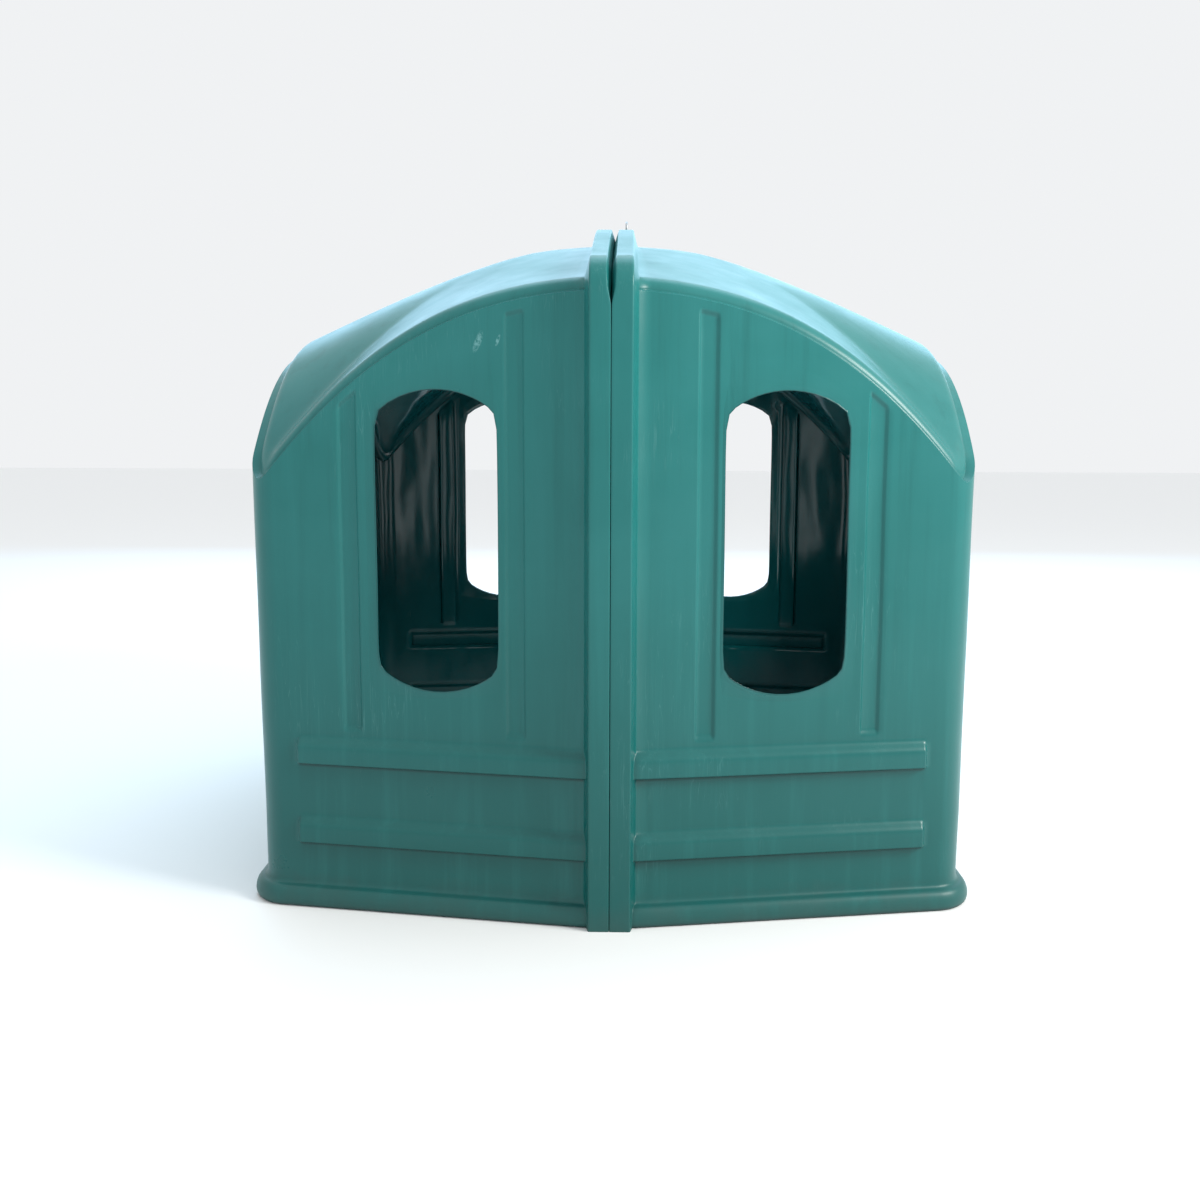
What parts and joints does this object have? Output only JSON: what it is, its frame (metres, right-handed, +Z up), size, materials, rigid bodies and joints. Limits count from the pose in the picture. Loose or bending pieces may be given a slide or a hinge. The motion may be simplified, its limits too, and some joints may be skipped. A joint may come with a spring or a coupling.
{
  "type": "calf hutch",
  "caption": "Moulded plastic livestock hut in two bolted halves, with a vaulted roof, arched feeding windows in every wall, ribbed lower walls and an open bottom.",
  "frame": {"origin": "on the ground, under the middle of the hut", "axes": "+Z up; the seam between the halves is the plane x = 0; the front faces -Y; the right half is at +X"},
  "size_m": [2.1062, 2.1028, 2.0675],
  "materials": {
    "green_polyethylene": "semi-gloss moulded green polyethylene, lightly scuffed",
    "zinc_bolt": "zinc plated",
    "zinc_washer": "zinc plated",
    "zinc_nut": "zinc plated",
    "galvanised_eye": "galvanised, dull"
  },
  "bodies": {
    "root": {"left_shell": "green_polyethylene", "right_shell": "green_polyethylene", "front_bolt_1": "zinc_bolt", "front_bolt_2": "zinc_bolt", "front_bolt_3": "zinc_bolt", "front_bolt_4": "zinc_bolt", "front_head_washer_1": "zinc_washer", "front_head_washer_2": "zinc_washer", "front_head_washer_3": "zinc_washer", "front_head_washer_4": "zinc_washer", "front_nut_washer_1": "zinc_washer", "front_nut_washer_2": "zinc_washer", "front_nut_washer_3": "zinc_washer", "front_nut_washer_4": "zinc_washer", "front_nut_1": "zinc_nut", "front_nut_2": "zinc_nut", "front_nut_3": "zinc_nut", "front_nut_4": "zinc_nut", "roof_bolt_1": "zinc_bolt", "roof_bolt_2": "zinc_bolt", "roof_bolt_3": "zinc_bolt", "roof_bolt_4": "zinc_bolt", "roof_head_washer_1": "zinc_washer", "roof_head_washer_2": "zinc_washer", "roof_head_washer_3": "zinc_washer", "roof_head_washer_4": "zinc_washer", "roof_nut_washer_1": "zinc_washer", "roof_nut_washer_2": "zinc_washer", "roof_nut_washer_3": "zinc_washer", "roof_nut_washer_4": "zinc_washer", "roof_nut_1": "zinc_nut", "roof_nut_2": "zinc_nut", "roof_nut_3": "zinc_nut", "roof_nut_4": "zinc_nut", "back_bolt_1": "zinc_bolt", "back_bolt_2": "zinc_bolt", "back_bolt_3": "zinc_bolt", "back_bolt_4": "zinc_bolt", "back_head_washer_1": "zinc_washer", "back_head_washer_2": "zinc_washer", "back_head_washer_3": "zinc_washer", "back_head_washer_4": "zinc_washer", "back_nut_washer_1": "zinc_washer", "back_nut_washer_2": "zinc_washer", "back_nut_washer_3": "zinc_washer", "back_nut_washer_4": "zinc_washer", "back_nut_1": "zinc_nut", "back_nut_2": "zinc_nut", "back_nut_3": "zinc_nut", "back_nut_4": "zinc_nut", "lifting_eye": "galvanised_eye", "eye_washer": "zinc_washer", "eye_nut": "zinc_nut"}
  },
  "joints": []
}
